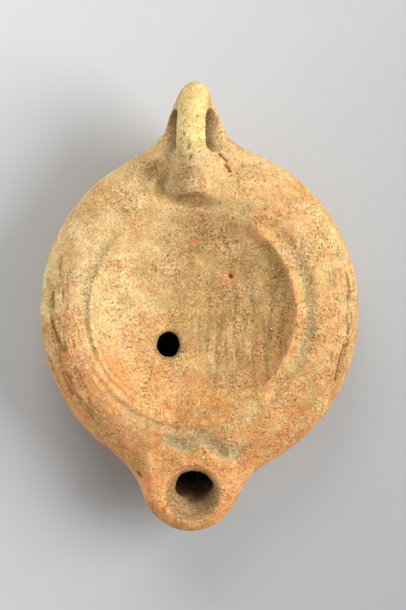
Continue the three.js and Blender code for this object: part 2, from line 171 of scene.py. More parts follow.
def store_values(mesh, name, values):
    attribute = mesh.attributes.get(name) or mesh.attributes.new(name, "FLOAT", "POINT")
    attribute.data.foreach_set("value", np.asarray(values, np.float32))


def values_of(mesh, name):
    values = np.empty(len(mesh.vertices), np.float32)
    mesh.attributes[name].data.foreach_get("value", values)
    return values.astype(np.float64)


# Node helpers

def add_node(tree, kind, links=None, **settings):
    """A node with its settings and its inputs, each a value or another node's output."""
    node = tree.nodes.new(kind)
    for name, value in settings.items():
        setattr(node, name, value)
    for socket, source in (links or {}).items():
        if isinstance(source, bpy.types.NodeSocket):
            tree.links.new(source, node.inputs[socket])
        else:
            node.inputs[socket].default_value = source
    return node


def math_out(tree, operation, first, second=0.0, third=0.0, clamp=False):
    node = add_node(tree, "ShaderNodeMath", {0: first, 1: second, 2: third}, operation=operation,
                    use_clamp=clamp)
    return node.outputs[0]


def times_out(tree, first, *others):
    """The product of two or more values."""
    for other in others:
        first = math_out(tree, "MULTIPLY", first, other)
    return first


def vector_out(tree, operation, first, second=(0.0, 0.0, 0.0)):
    node = add_node(tree, "ShaderNodeVectorMath", {0: first, 1: second}, operation=operation)
    return node.outputs["Value" if operation in ("LENGTH", "DISTANCE", "DOT_PRODUCT") else "Vector"]


def step_out(tree, value, low, high):
    """0 below low and 1 above high, smoothly; low may be the larger."""
    node = add_node(tree, "ShaderNodeMapRange", {"Value": value, "From Min": low, "From Max": high},
                    interpolation_type="SMOOTHSTEP")
    return node.outputs[0]


def noise_out(tree, vector, size, detail=2.0, roughness=0.5, distortion=0.0):
    """Noise around 0.5 whose lumps are about size across."""
    scale = size if isinstance(size, bpy.types.NodeSocket) else 1.0 / size
    node = add_node(tree, "ShaderNodeTexNoise",
                    {"Vector": vector, "Scale": scale, "Detail": detail, "Roughness": roughness,
                     "Distortion": distortion})
    return node.outputs[0]


def mix_colour(tree, factor, first, second, blend="MIX"):
    node = add_node(tree, "ShaderNodeMix", {0: factor, 6: first, 7: second}, data_type="RGBA",
                    blend_type=blend)
    return node.outputs[2]


def parts_out(tree, vector):
    return add_node(tree, "ShaderNodeSeparateXYZ", {0: vector}).outputs


def vector_from(tree, *parts):
    return add_node(tree, "ShaderNodeCombineXYZ", dict(enumerate(parts))).outputs[0]


def new_group(name, kind, inputs, outputs):
    """A node group with its sockets: names to kinds of socket."""
    tree = bpy.data.node_groups.new(name, kind)
    for way, sockets in (("INPUT", inputs), ("OUTPUT", outputs)):
        for socket, socket_kind in sockets.items():
            tree.interface.new_socket(name=socket, in_out=way, socket_type="NodeSocket" + socket_kind)
    return tree, add_node(tree, "NodeGroupInput").outputs, add_node(tree, "NodeGroupOutput").inputs


def run_geometry_tree(piece, tree, values):
    """Runs a geometry tree on a piece with its named inputs, and keeps the result as its mesh."""
    modifier = piece.modifiers.new(tree.name, "NODES")
    modifier.node_group = tree
    for item in tree.interface.items_tree:
        if item.item_type == "SOCKET" and item.in_out == "INPUT" and item.name in values:
            modifier[item.identifier] = values[item.name]
    return settle(piece)


# The clay skin

def even_skin():
    """The lamp's solid, rebuilt as one fine, even mesh with its sharp edges rubbed soft."""
    piece = link_object("lamp_clay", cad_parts["lamp"].data.copy())
    piece.data.materials.clear()
    solid = bmesh.new()
    solid.from_mesh(piece.data)
    bmesh.ops.remove_doubles(solid, verts=solid.verts, dist=0.001 * MM)
    solid.to_mesh(piece.data)
    solid.free()
    skin = piece.modifiers.new("skin", "REMESH")
    skin.mode = "VOXEL"
    skin.voxel_size = SKIN_STEP
    rub = piece.modifiers.new("rub", "SMOOTH")
    rub.factor = 0.5
    rub.iterations = RUB_ROUNDS
    return settle(piece)


def inside_share(mesh, points, normals):
    """1 on the walls of the oil chamber and 0 on the outside, by what lies all round a point."""
    tree = BVHTree.FromPolygons([Vector(point) for point in points],
                                [tuple(polygon.vertices) for polygon in mesh.polygons])
    starts = points + normals * 0.3 * MM
    inside = np.zeros(len(points))
    likely = np.hypot(points[:, 0] - DISCUS_MIDDLE[0], points[:, 1]) < BELLY_HALF_LENGTH + 9 * MM
    level_ways = [Vector(way) for way in ((0, 0, -1), (1, 0, 0), (-1, 0, 0), (0, 1, 0), (0, -1, 0))]
    up = Vector((0, 0, 1))
    for index in np.nonzero(likely)[0]:
        start = Vector(starts[index])
        walled = all(tree.ray_cast(start, way)[0] is not None for way in level_ways)
        roofed = points[index, 2] < OPEN_CHAMBER_TOP or tree.ray_cast(start, up)[0] is not None
        inside[index] = walled and roofed
    return inside


def fill_creases(points, normals, edges, where, radius, rounds):
    """Fills hollow corners with a fillet of about a radius, and leaves what stands proud alone."""
    keep = where[edges[:, 0]] | where[edges[:, 1]]
    first, second = edges[keep].T
    count = np.bincount(first, minlength=len(points)) + np.bincount(second, minlength=len(points))
    count = np.maximum(count, 1)[:, None]
    enough = SKIN_STEP ** 2 / (4.0 * radius)
    points = points.copy()
    for _ in range(rounds):
        middle = np.stack([
            np.bincount(first, points[second, axis], len(points))
            + np.bincount(second, points[first, axis], len(points)) for axis in range(3)], 1) / count
        hollow = np.einsum("ij,ij->i", middle - points, normals) - enough
        points += normals * (np.clip(hollow, 0.0, None) * where * 0.7)[:, None]
    return points


def soften_handle(piece):
    """Runs the handle's flanks out onto the shoulder, as wet clay pressed on by a thumb."""
    mesh = piece.data
    points = points_of(mesh)
    hole = np.hypot(points[:, 1] - HANDLE_HOLE_AXIS[0], points[:, 2] - HANDLE_HOLE_AXIS[1])
    near = (points[:, 1] > 24 * MM) & (points[:, 2] > 4 * MM) & (np.abs(points[:, 0]) < 20 * MM)
    where = near & (hole > HANDLE_HOLE_RADIUS + 1.4 * MM) & (values_of(mesh, "inside") < 0.5)
    edges = edges_of(mesh)
    for _ in range(FILLET_PASSES):
        points = fill_creases(points, normals_of(mesh), edges, where, HANDLE_FILLET, FILLET_ROUNDS)
        set_points(mesh, points)


# Relief that has its own place on the lamp

def mark_share(x, y, middle, length, width, turn):
    """1 in the middle of a soft oval and 0 outside it, at plan places; lengths in millimetres."""
    angle = math.radians(turn)
    along = (x - middle[0] * MM) * math.cos(angle) + (y - middle[1] * MM) * math.sin(angle)
    across = (y - middle[1] * MM) * math.cos(angle) - (x - middle[0] * MM) * math.sin(angle)
    reach = np.hypot(along / (length * MM / 2), across / (width * MM / 2))
    return 1.0 - smooth_step(reach, 0.25, 1.0)


# Middle, length, width, turn from the x axis in degrees, and depth, in millimetres
SHOULDER_MARKS = [
    ((16.8, 29.6), 6.0, 1.6, -28, 0.45),
    ((17.9, 22.6), 5.5, 1.4, -24, 0.4),
    ((20.6, 24.6), 3.2, 1.1, -35, 0.3),
    ((23.6, 15.8), 6.0, 1.3, 84, 0.4),
    ((8.6, 31.8), 5.5, 1.2, -80, 0.35),
    ((12.5, 33.2), 4.5, 1.6, -30, 0.3),
    ((-11.8, 33.6), 5.0, 2.4, 50, 0.4),
    ((26.4, -18.8), 5.0, 1.0, 62, 0.3),
    ((30.4, -6.4), 6.5, 0.8, 80, 0.3),
    ((-29.6, -8.2), 6.0, 1.0, 100, 0.25),
    ((-25.2, 18.2), 5.0, 1.1, 55, 0.25),
]
DISCUS_MARKS = [
    ((7.2, 8.3), 2.0, 1.3, -30, 0.5),
    ((5.8, 15.6), 8.5, 1.6, -58, 0.25),
    ((8.2, 13.0), 7.0, 1.2, -62, -0.15),
    ((-5.2, 2.2), 7.0, 1.2, 20, -0.12),
    ((-5.4, 0.2), 6.0, 1.2, 15, 0.12),
    ((-3.4, 19.0), 7.0, 4.0, 0, 0.25),
]
# The hollows beside and before the strap of the handle, painted dark as shade
HANDLE_MARKS = [
    ((-9.4, 29.0), 8.0, 3.4, 84, 0.5),
    ((-10.6, 33.6), 8.0, 4.6, 62, 0.4),
    ((-0.5, 25.4), 15.0, 4.0, -4, 0.3),
]
# Open cracks in the clay
CRACKS = [
    ((-2.4, 37.6), 1.8, 0.8, 80, 0.35),
    ((-2.0, 35.2), 2.0, 0.7, 72, 0.4),
    ((-2.4, 32.8), 1.4, 0.7, 85, 0.35),
    ((-3.6, 40.6), 1.2, 0.6, 60, 0.25),
    ((-0.2, 44.8), 1.2, 0.7, 40, 0.25),
    ((1.1, -32.8), 2.4, 0.7, 96, 0.6),
    ((7.4, 8.1), 1.5, 0.9, -30, 0.5),
    ((-14.3, -38.6), 2.6, 0.9, -50, 0.5),
]
# Long cracks, each a broken line and its depth, in millimetres: beside the handle, and in the seams
CRACK_LINES = [
    ([(5.2, 36.5), (6.2, 35.9), (6.7, 35.2)], 0.8),
    ([(6.3, 34.4), (6.9, 33.7), (7.2, 32.9)], 0.9),
    ([(-35.0, -2.1), (-34.6, -4.0), (-34.0, -5.4), (-33.1, -6.6), (-32.7, -7.8), (-31.7, -9.3)], 0.45),
    ([(-32.3, -14.8), (-32.0, -16.0), (-31.0, -17.8), (-30.8, -18.6), (-29.9, -19.9)], 0.4),
    ([(-34.5, 4.6), (-34.8, 2.8), (-34.5, 0.4)], 0.5),
    ([(-32.4, 12.8), (-32.8, 10.4), (-32.6, 7.8)], 0.35),
    ([(35.0, 9.1), (35.6, 6.2), (35.8, 4.8), (35.5, 2.9)], 0.5),
    ([(35.6, -3.2), (35.4, -5.4)], 0.4),
    ([(34.4, -8.0), (33.9, -9.6), (33.2, -11.6), (33.0, -13.2), (32.5, -14.8), (32.3, -16.4)], 0.6),
]
CRACK_DEPTH = 0.6  # as a share of the depths above
CRACK_WIDTH = 0.42
CRACK_STAIN_WIDTH = 0.3
SEAM_DEPTH = 0.4
# The upper edge of the nozzle's collar, drawn up to a point between two lobes, in millimetres
COLLAR_EDGE = [(-10.6, -33.6), (-9.2, -32.8), (-6.5, -32.4), (-3.7, -33.8), (-1.5, -33.4), (-0.2, -32.0),
               (0.6, -31.9), (1.8, -32.8), (4.5, -35.0), (7.2, -35.7), (9.4, -35.0), (10.8, -34.4)]
COLLAR_MIDDLE = 0.7
COLLAR_RECESS = 0.95
COLLAR_FADE = 4.6
COLLAR_LIP_HEIGHT = 0.25
COLLAR_LIP_PLACE = 1.2
# The lower and left edge of the foot of the handle's strap, with a drop outside it, in millimetres
STRAP_EDGE = [(4.8, 26.1), (1.4, 27.3), (-2.2, 27.6), (-5.4, 27.0), (-7.4, 27.4), (-7.3, 29.8), (-7.0, 32.4),
              (-6.6, 36.0)]
STRAP_DROP = 0.85
STRAP_FADE = 3.4
STRAP_FOOT_HEIGHT = 0.4
FILLING_HOLE_WEAR = 0.35
# Lines round the dish: how far outside its edge, how wide in full and to nothing, how strong or high,
# and their direction and spread in degrees; lengths in millimetres
RELIEF_LINES = [
    (2.9, 0.4, 2.2, -0.5, -5, 70),
    (1.6, 0.3, 1.6, -0.3, 162, 52),
    (-0.1, 0.1, 1.2, 0.5, 162, 52),
    (-0.4, 0.1, 0.7, -0.3, 212, 34),
    (1.2, 0.1, 0.7, -0.35, 212, 34),
    (3.4, 0.1, 0.7, -0.3, 212, 34),
]
SILT_LINES = [
    (2.9, 0.3, 2.2, 0.75, -2, 45),
    (1.6, 0.3, 1.8, 0.7, 158, 34),
]
# The crest lines carry a painted highlight along the ridge
CREST_HIGHLIGHT_LINES = [
    (0.0, 0.3, 1.5, 1.0, 8, 70),
    (0.0, 0.3, 1.5, 0.9, 162, 48),
]
# Before the nozzle the worn rim lies further out than it does on the right
LOWER_RIM_SHIFT = 2.1
LOWER_RIM_HEIGHT = 0.3
LOWER_GROOVE_PLACE = 1.9
LOWER_GROOVE_DEPTH = 0.25


def ring_share(angle, middle, spread):
    """1 round one direction, in degrees, and 0 beyond the spread on both sides."""
    apart = np.abs((np.degrees(angle) - middle + 180.0) % 360.0 - 180.0)
    return 1.0 - smooth_step(apart, spread * 0.5, spread)


def line_distance(x, y, line):
    """How far plan places lie from a line of points, with a plus sign on its left."""
    nearest = np.full(len(x), np.inf)
    signed = np.zeros(len(x))
    for start, end in zip(line, line[1:]):
        start = np.array(start) * MM
        step = np.array(end) * MM - start
        share = np.clip(((x - start[0]) * step[0] + (y - start[1]) * step[1]) / (step @ step), 0.0, 1.0)
        away = np.hypot(x - start[0] - share * step[0], y - start[1] - share * step[1])
        left = np.sign(step[0] * (y - start[1]) - step[1] * (x - start[0]))
        closer = away < nearest
        nearest = np.where(closer, away, nearest)
        signed = np.where(closer, away * left, signed)
    return signed


def collar_share(x, y, full):
    """1 behind the nozzle's collar, to its full reach from the edge, and less beyond that."""
    away = line_distance(x, y, COLLAR_EDGE)
    share = smooth_step(away, -0.1 * MM, 0.5 * MM) * (1.0 - smooth_step(away, full * MM, COLLAR_FADE * MM))
    return share * line_share(x - COLLAR_MIDDLE * MM, 8.0 * MM, 10.8 * MM)


def collar_relief(x, y):
    """The recess behind the nozzle's collar and the low lip along its edge, in millimetres."""
    lip = line_share(line_distance(x, y, COLLAR_EDGE) + COLLAR_LIP_PLACE * MM, 0.2 * MM, 1.2 * MM)
    lip *= line_share(x - COLLAR_MIDDLE * MM, 6.5 * MM, 9.5 * MM)
    return COLLAR_LIP_HEIGHT * lip - COLLAR_RECESS * collar_share(x, y, 1.0)


def strap_ends(x, y):
    return (1.0 - smooth_step(x, -1.5 * MM, 4.0 * MM)) * (1.0 - smooth_step(y, 31.0 * MM, 35.0 * MM))


def strap_drop_share(x, y):
    """1 just outside the foot of the handle's strap, to its left and before it."""
    away = line_distance(x, y, STRAP_EDGE)
    share = smooth_step(away, -0.2 * MM, 0.6 * MM) * (1.0 - smooth_step(away, 0.8 * MM, STRAP_FADE * MM))
    return share * strap_ends(x, y)


def strap_relief(x, y):
    """The swelling of the strap's foot and the drop outside it, in millimetres."""
    foot = line_share(line_distance(x, y, STRAP_EDGE) + 1.3 * MM, 0.5 * MM, 1.7 * MM) * strap_ends(x, y)
    drop = strap_drop_share(x, y) * (1.0 - 0.5 * smooth_step(x, -7 * MM, -4.5 * MM))
    return STRAP_FOOT_HEIGHT * foot - STRAP_DROP * drop


def crack_share(x, y, width):
    """How far each plan place lies in one of the long cracks, as a depth in millimetres."""
    return np.maximum.reduce([
        depth * line_share(line_distance(x, y, line), 0.3 * width * MM, width * MM)
        for line, depth in CRACK_LINES])


def polar(offset):
    """Distance and direction of plan offsets from a middle."""
    return np.hypot(*offset.T), np.arctan2(offset[:, 1], offset[:, 0])


def wick_offset(points):
    """How deep points lie, as a share of the wick hole's depth, and their offset from its axis."""
    depth = (NOZZLE_TOP_HEIGHT - points[:, 2]) / WICK_HOLE_DEPTH
    return depth, points[:, :2] - WICK_HOLE_MIDDLE - depth[:, None] * WICK_HOLE_SLANT


def drawn_in(points, offset, inward, least):
    """Points moved in by a distance against their plan offset, which counts as a least length."""
    points = points.copy()
    points[:, :2] -= offset * (inward / np.maximum(np.hypot(*offset.T), least))[:, None]
    return points


def reshape_filling_hole(points):
    """Draws the filling hole in to the uneven oval that was pushed through with a stick."""
    offset = points[:, :2] - FILLING_HOLE_MIDDLE
    away, turn = polar(offset)
    inward = 0.16 + 0.3 * np.cos(turn) ** 2 + 0.07 * np.sin(3.0 * turn + 1.0) + 0.05 * np.sin(7.0 * turn)
    inward *= 1.0 - smooth_step(away, FILLING_HOLE_RADIUS + 0.3 * MM, FILLING_HOLE_RADIUS + 2.2 * MM)
    inward *= smooth_step(points[:, 2], 17 * MM, 18.5 * MM)
    return drawn_in(points, offset, inward * MM, 0.5 * MM)


def narrow_wick_hole(points):
    """Draws the wick hole's wall in towards its bottom, less where it opens into the lamp."""
    depth, offset = wick_offset(points)
    away, turn = polar(offset)
    share = np.clip(depth / 1.1, 0.0, 1.0) ** 0.75 * (1.0 - smooth_step(depth, 1.15, 1.6))
    share *= 1.0 - smooth_step(away, WICK_HOLE_RADIUS + 0.2 * MM, WICK_HOLE_RADIUS + 2.5 * MM)
    share *= 1.0 - 0.35 * ring_share(turn, 78, 85)
    return drawn_in(points, offset, WICK_HOLE_NARROWING * share, 1 * MM)


def filling_hole_wear(x, y):
    """How much lower the worn lip of the filling hole lies, most at its right, in millimetres."""
    away, turn = polar(np.stack([x, y], 1) - FILLING_HOLE_MIDDLE)
    edge = away - FILLING_HOLE_RADIUS
    return FILLING_HOLE_WEAR * (1.0 - smooth_step(edge, 0.1 * MM, 0.9 * MM)) * ring_share(turn, -35, 130)


def rim_lines(points, lines):
    """How strong each of some lines round the dish is at points."""
    radius, angle = polar(points[:, :2] - DISCUS_MIDDLE)
    return [strength * line_share(radius - DISCUS_RADIUS - out * MM, full * MM, fade * MM)
            * ring_share(angle, middle, spread)
            for out, full, fade, strength, middle, spread in lines]


def lower_rim(points):
    """The last trace of the rim before the nozzle, and of the groove outside it, each from 0 to 1."""
    radius, angle = polar(points[:, :2] - DISCUS_MIDDLE)
    out = radius - DISCUS_RADIUS - LOWER_RIM_SHIFT * MM * ring_share(angle, 262, 75)
    there = ring_share(angle, 272, 60)
    crest = line_share(out, 0.2 * MM, 1.3 * MM)
    groove = line_share(out - LOWER_GROOVE_PLACE * MM, 0.2 * MM, 1.4 * MM)
    return crest * there, groove * there


def silt_share(points):
    """Where grey silt lies: in the groove round the rim and behind the collar of the nozzle."""
    lower_groove = lower_rim(points)[1]
    collar = collar_share(points[:, 0], points[:, 1], 2.6)
    return np.maximum.reduce([*rim_lines(points, SILT_LINES), lower_groove * 0.4, collar])


def wall_share(x, y):
    """1 on the steep grey wall left of the strap, between its crisp edge and its foot."""
    share = smooth_step(x, -8.4 * MM, -7.4 * MM) * (1.0 - smooth_step(x, -6.2 * MM, -5.4 * MM))
    return share * smooth_step(y, 26.5 * MM, 28.0 * MM) * (1.0 - smooth_step(y, 37.0 * MM, 40.0 * MM))


def crest_highlight_share(points):
    """Painted highlight: 1 on the crest round the dish on the right and left, and less on its trace before
    the nozzle.
    """
    return np.maximum.reduce([*rim_lines(points, CREST_HIGHLIGHT_LINES), 0.5 * lower_rim(points)[0]])


def seam_share(x, y):
    """1 where the seam between the two moulds stands open, left and right of the lamp."""
    angle = np.arctan2(y / BELLY_HALF_LENGTH, x / BELLY_HALF_WIDTH)
    line = np.hypot(x / BELLY_HALF_WIDTH, y / BELLY_HALF_LENGTH) - 0.015 * np.cos(angle)
    line += 0.006 * np.sin(7.0 * angle + 1.0) + 0.003 * np.sin(23.0 * angle)
    broken = 0.6 + 0.4 * np.sin(31.0 * angle) * np.sin(13.0 * angle + 2.0)
    seam = line_share(line - 0.922, 0.002, 0.013)
    return seam * broken * np.maximum(ring_share(angle, -8, 30), ring_share(angle, 199, 34))


def placed_relief(points):
    """Heights of the worn rim, its groove, the nozzle's edge, the seam and the lamp's own dents."""
    x, y, z = points.T
    crest, groove = lower_rim(points)
    height = sum(rim_lines(points, RELIEF_LINES))
    height += crest * LOWER_RIM_HEIGHT - groove * LOWER_GROOVE_DEPTH
    height -= seam_share(x, y) * SEAM_DEPTH
    height -= crack_share(x, y, CRACK_WIDTH) * CRACK_DEPTH
    radius = np.hypot(*(points[:, :2] - DISCUS_MIDDLE).T)
    on_shoulder = smooth_step(radius, DISCUS_RADIUS - 1 * MM, DISCUS_RADIUS + 1 * MM)
    for share, marks in ((on_shoulder, SHOULDER_MARKS), (1.0 - on_shoulder, DISCUS_MARKS),
                         (1.0, HANDLE_MARKS), (1.0, CRACKS)):
        for *place, depth in marks:
            height -= share * mark_share(x, y, *place) * depth
    height += collar_relief(x, y) + strap_relief(x, y) - filling_hole_wear(x, y)
    return height * MM * smooth_step(z, WIDEST_HEIGHT, WIDEST_HEIGHT + 2 * MM)


def hollow_share(points, inside):
    """1 on the walls of the oil chamber and of all the holes, which are rough and dark."""
    x, y, z = points.T
    wick = np.hypot(*wick_offset(points)[1].T)
    filling = np.hypot(x - FILLING_HOLE_MIDDLE[0], y - FILLING_HOLE_MIDDLE[1])
    handle = np.hypot(y - HANDLE_HOLE_AXIS[0], z - HANDLE_HOLE_AXIS[1])
    above = z > 10 * MM
    share = inside.copy()
    holes = ((wick, WICK_HOLE_RADIUS), (filling, FILLING_HOLE_RADIUS), (handle, HANDLE_HOLE_RADIUS))
    for away, hole in holes:
        share = np.maximum(share, above * (1.0 - smooth_step(away, hole + 0.1 * MM, hole + 0.8 * MM)))
    return share


def clay_relief_tree():
    """The relief that the whole surface shares: lumps, turning marks, brush marks, grain and pits."""
    tree, given, out = new_group("clay_relief", "GeometryNodeTree", {
        "Geometry": "Geometry", "Lump Height": "Float", "Ring Mark Height": "Float",
        "Brush Mark Height": "Float", "Grain Height": "Float", "Pit Depth": "Float",
        "Discus Radius": "Float", "Widest Height": "Float",
    }, {"Geometry": "Geometry"})
    position = add_node(tree, "GeometryNodeInputPosition").outputs[0]
    normal = add_node(tree, "GeometryNodeInputNormal").outputs[0]
    parts = parts_out(tree, position)
    plan = vector_from(tree, parts[0], parts[1])
    from_middle = vector_out(tree, "DISTANCE", plan, (*DISCUS_MIDDLE, 0.0))
    direction = vector_out(tree, "NORMALIZE", plan)
    swung = vector_out(tree, "SCALE", direction)
    swung.node.inputs["Scale"].default_value = 2.2
    round_ways = parts_out(tree, swung)
    outwards = times_out(tree, from_middle, 1.0 / (1.3 * MM))
    ring_place = vector_from(tree, round_ways[0], round_ways[1], outwards)
    brush_place = vector_out(tree, "MULTIPLY", position, (1 / (1.1 * MM), 1 / (14 * MM), 0.0))
    upper = step_out(tree, parts[2], given["Widest Height"], 19 * MM)
    outer = step_out(tree, from_middle, given["Discus Radius"], 28 * MM)
    in_discus = math_out(tree, "SUBTRACT", 1.0, step_out(tree, from_middle, 18 * MM, given["Discus Radius"]))
    right_half = step_out(tree, parts[0], -2 * MM, 6 * MM)

    def worn(place, size, detail, roughness, top):
        """Noise that stands above the clay only where it is more than top."""
        return math_out(tree, "SUBTRACT", noise_out(tree, place, size, detail, roughness), top)

    lumps = worn(position, 9 * MM, 2.0, 0.55, 0.75)
    dents = worn(position, 3.2 * MM, 2.0, 0.5, 0.7)
    rings = worn(ring_place, 1.0, 3.0, 0.6, 0.7)
    brush = worn(brush_place, 1.0, 3.0, 0.6, 0.7)
    grain = worn(position, 0.8 * MM, 3.0, 0.7, 0.6)
    cells = add_node(tree, "ShaderNodeTexVoronoi", {"Vector": position, "Scale": 1 / (2.1 * MM)},
                     feature="F1").outputs["Distance"]
    pit = times_out(tree, step_out(tree, cells, 0.3, 0.1),
                    step_out(tree, noise_out(tree, position, 4 * MM, 1.0), 0.5, 0.62))

    height = times_out(tree, lumps, given["Lump Height"])
    height = math_out(tree, "MULTIPLY_ADD", dents, times_out(tree, given["Lump Height"], 0.5), height)
    # The rings stand out most at the lamp's left
    left_side = times_out(tree, step_out(tree, parts[0], -19 * MM, -30 * MM),
                          step_out(tree, parts[1], 16 * MM, 0.0))
    ring_height = times_out(tree, outer, upper, given["Ring Mark Height"],
                            math_out(tree, "MULTIPLY_ADD", left_side, 1.3, 1.0))
    height = math_out(tree, "MULTIPLY_ADD", rings, ring_height, height)
    brush_height = times_out(tree, in_discus, right_half, given["Brush Mark Height"], upper)
    height = math_out(tree, "MULTIPLY_ADD", brush, brush_height, height)
    fine = times_out(tree, grain, given["Grain Height"])
    fine = math_out(tree, "SUBTRACT", fine, times_out(tree, pit, given["Pit Depth"]))
    height = math_out(tree, "ADD", height, fine)
    height = times_out(tree, height, step_out(tree, parts[2], 0.8 * MM, 3 * MM))
    offset = vector_out(tree, "SCALE", normal)
    tree.links.new(height, offset.node.inputs["Scale"])
    moved = add_node(tree, "GeometryNodeSetPosition", {"Geometry": given["Geometry"], "Offset": offset})
    kept = add_node(tree, "GeometryNodeStoreNamedAttribute",
                    {"Geometry": moved.outputs[0], "Name": "fine_relief",
                     "Value": math_out(tree, "DIVIDE", fine, MM)},
                    data_type="FLOAT", domain="POINT")
    tree.links.new(kept.outputs[0], out["Geometry"])
    return tree


def sand_tree():
    """Rounded grains of sand that stand a little out of the clay, scattered over its outside."""
    tree, given, out = new_group("sand", "GeometryNodeTree", {
        "Geometry": "Geometry", "Density": "Float", "Smallest": "Float", "Largest": "Float",
        "Seed": "Int", "Material": "Material",
    }, {"Geometry": "Geometry"})
    buried = add_node(tree, "GeometryNodeInputNamedAttribute", {"Name": "buried"}, data_type="FLOAT")
    outside = add_node(tree, "FunctionNodeCompare", {0: buried.outputs[0], 1: 0.5}, data_type="FLOAT",
                       operation="LESS_THAN")
    places = add_node(tree, "GeometryNodeDistributePointsOnFaces",
                      {"Mesh": given["Geometry"], "Selection": outside.outputs[0],
                       "Density": given["Density"], "Seed": given["Seed"]})
    grain = add_node(tree, "GeometryNodeMeshIcoSphere", {"Radius": 1.0, "Subdivisions": 1})
    size = add_node(tree, "FunctionNodeRandomValue",
                    {2: given["Smallest"], 3: given["Largest"], "Seed": given["Seed"]}, data_type="FLOAT")
    turn = add_node(tree, "FunctionNodeRandomValue",
                    {0: (0.0, 0.0, 0.0), 1: (6.28, 6.28, 6.28), "Seed": given["Seed"]},
                    data_type="FLOAT_VECTOR")
    grains = add_node(tree, "GeometryNodeInstanceOnPoints",
                      {"Points": places.outputs["Points"], "Instance": grain.outputs["Mesh"],
                       "Rotation": turn.outputs[0], "Scale": size.outputs[1]})
    real = add_node(tree, "GeometryNodeRealizeInstances", {"Geometry": grains.outputs[0]})
    shown = add_node(tree, "GeometryNodeSetMaterial",
                     {"Geometry": real.outputs[0], "Material": given["Material"]})
    tree.links.new(shown.outputs[0], out["Geometry"])
    return tree


# East, north and radius in millimetres
LARGE_GRAINS = [
    (-9.8, 17.4, 0.28), (-17.2, 12.8, 0.24), (19.9, 12.4, 0.26), (26.4, 24.6, 0.26), (14.8, 21.0, 0.22),
    (25.5, -10.2, 0.26), (22.1, -16.6, 0.26), (11.9, -21.2, 0.26), (0.9, -34.3, 0.42), (-22.6, -14.2, 0.24),
    (-16.2, -28.8, 0.22), (-14.9, -30.2, 0.2), (6.4, 2.6, 0.2), (-6.8, -13.4, 0.22), (-27.3, 5.0, 0.22),
]


def sand_grains(clay):
    grains = link_object("sand_grains", clay.data.copy())
    mesh = grains.data
    points = points_of(mesh)
    buried = np.maximum(values_of(mesh, "inside"), values_of(mesh, "hollow"))
    buried = np.maximum(buried, points[:, 2] < 3 * MM)
    near_edge = np.any((points - LOW < SAND_EDGE) | (HIGH - points < SAND_EDGE), axis=1)
    store_values(mesh, "buried", np.maximum(buried, near_edge))
    mesh.materials.clear()
    ground = BVHTree.FromObject(clay, bpy.context.evaluated_depsgraph_get())
    sand = pale_sand()
    run_geometry_tree(grains, sand_tree(), {
        "Density": SAND_DENSITY,
        "Smallest": 0.08 * MM,
        "Largest": 0.24 * MM,
        "Seed": 11,
        "Material": sand,
    })
    joined = bmesh.new()
    joined.from_mesh(grains.data)
    for east, north, size in LARGE_GRAINS:
        spot = ground.ray_cast(Vector((east * MM, north * MM, HIGH[2] + MM)), Vector((0, 0, -1)))[0]
        turn = Matrix.Rotation(east + north, 4, "Z") @ Matrix.Diagonal((1.0, 0.75, 0.7, 1.0))
        place = Matrix.Translation(spot) @ turn
        bmesh.ops.create_icosphere(joined, subdivisions=1, radius=size * MM, matrix=place)
    joined.to_mesh(grains.data)
    joined.free()
    grains.data.materials.clear()
    grains.data.materials.append(sand)
    grains.data.polygons.foreach_set("material_index", [0] * len(grains.data.polygons))
    return grains


def thin_part(piece, where, share):
    """Takes faces away in a part of the skin that nobody sees closely, down to a share of them."""
    group = piece.vertex_groups.new(name="thinned")
    group.add(np.nonzero(where)[0].tolist(), 1.0, "REPLACE")
    thin = piece.modifiers.new("thin", "DECIMATE")
    thin.ratio = 1.0 - where.mean() * (1.0 - share)
    thin.vertex_group = group.name
    thin.vertex_group_factor = 1.0
    settle(piece)
    piece.vertex_groups.clear()


def thin_skin(piece):
    """Thins the inside and the underside, and then the whole as far as the limit asks."""
    thin_part(piece, values_of(piece.data, "inside") > 0.5, INSIDE_FACES_KEPT)
    low = points_of(piece.data)[:, 2] < UNDERSIDE_TOP
    thin_part(piece, low & (values_of(piece.data, "inside") < 0.5), UNDERSIDE_FACES_KEPT)
    triangles = len(piece.data.loops) - 2 * len(piece.data.polygons)
    even = piece.modifiers.new("even", "DECIMATE")
    even.ratio = min(1.0, MOST_TRIANGLES / triangles)
    settle(piece)


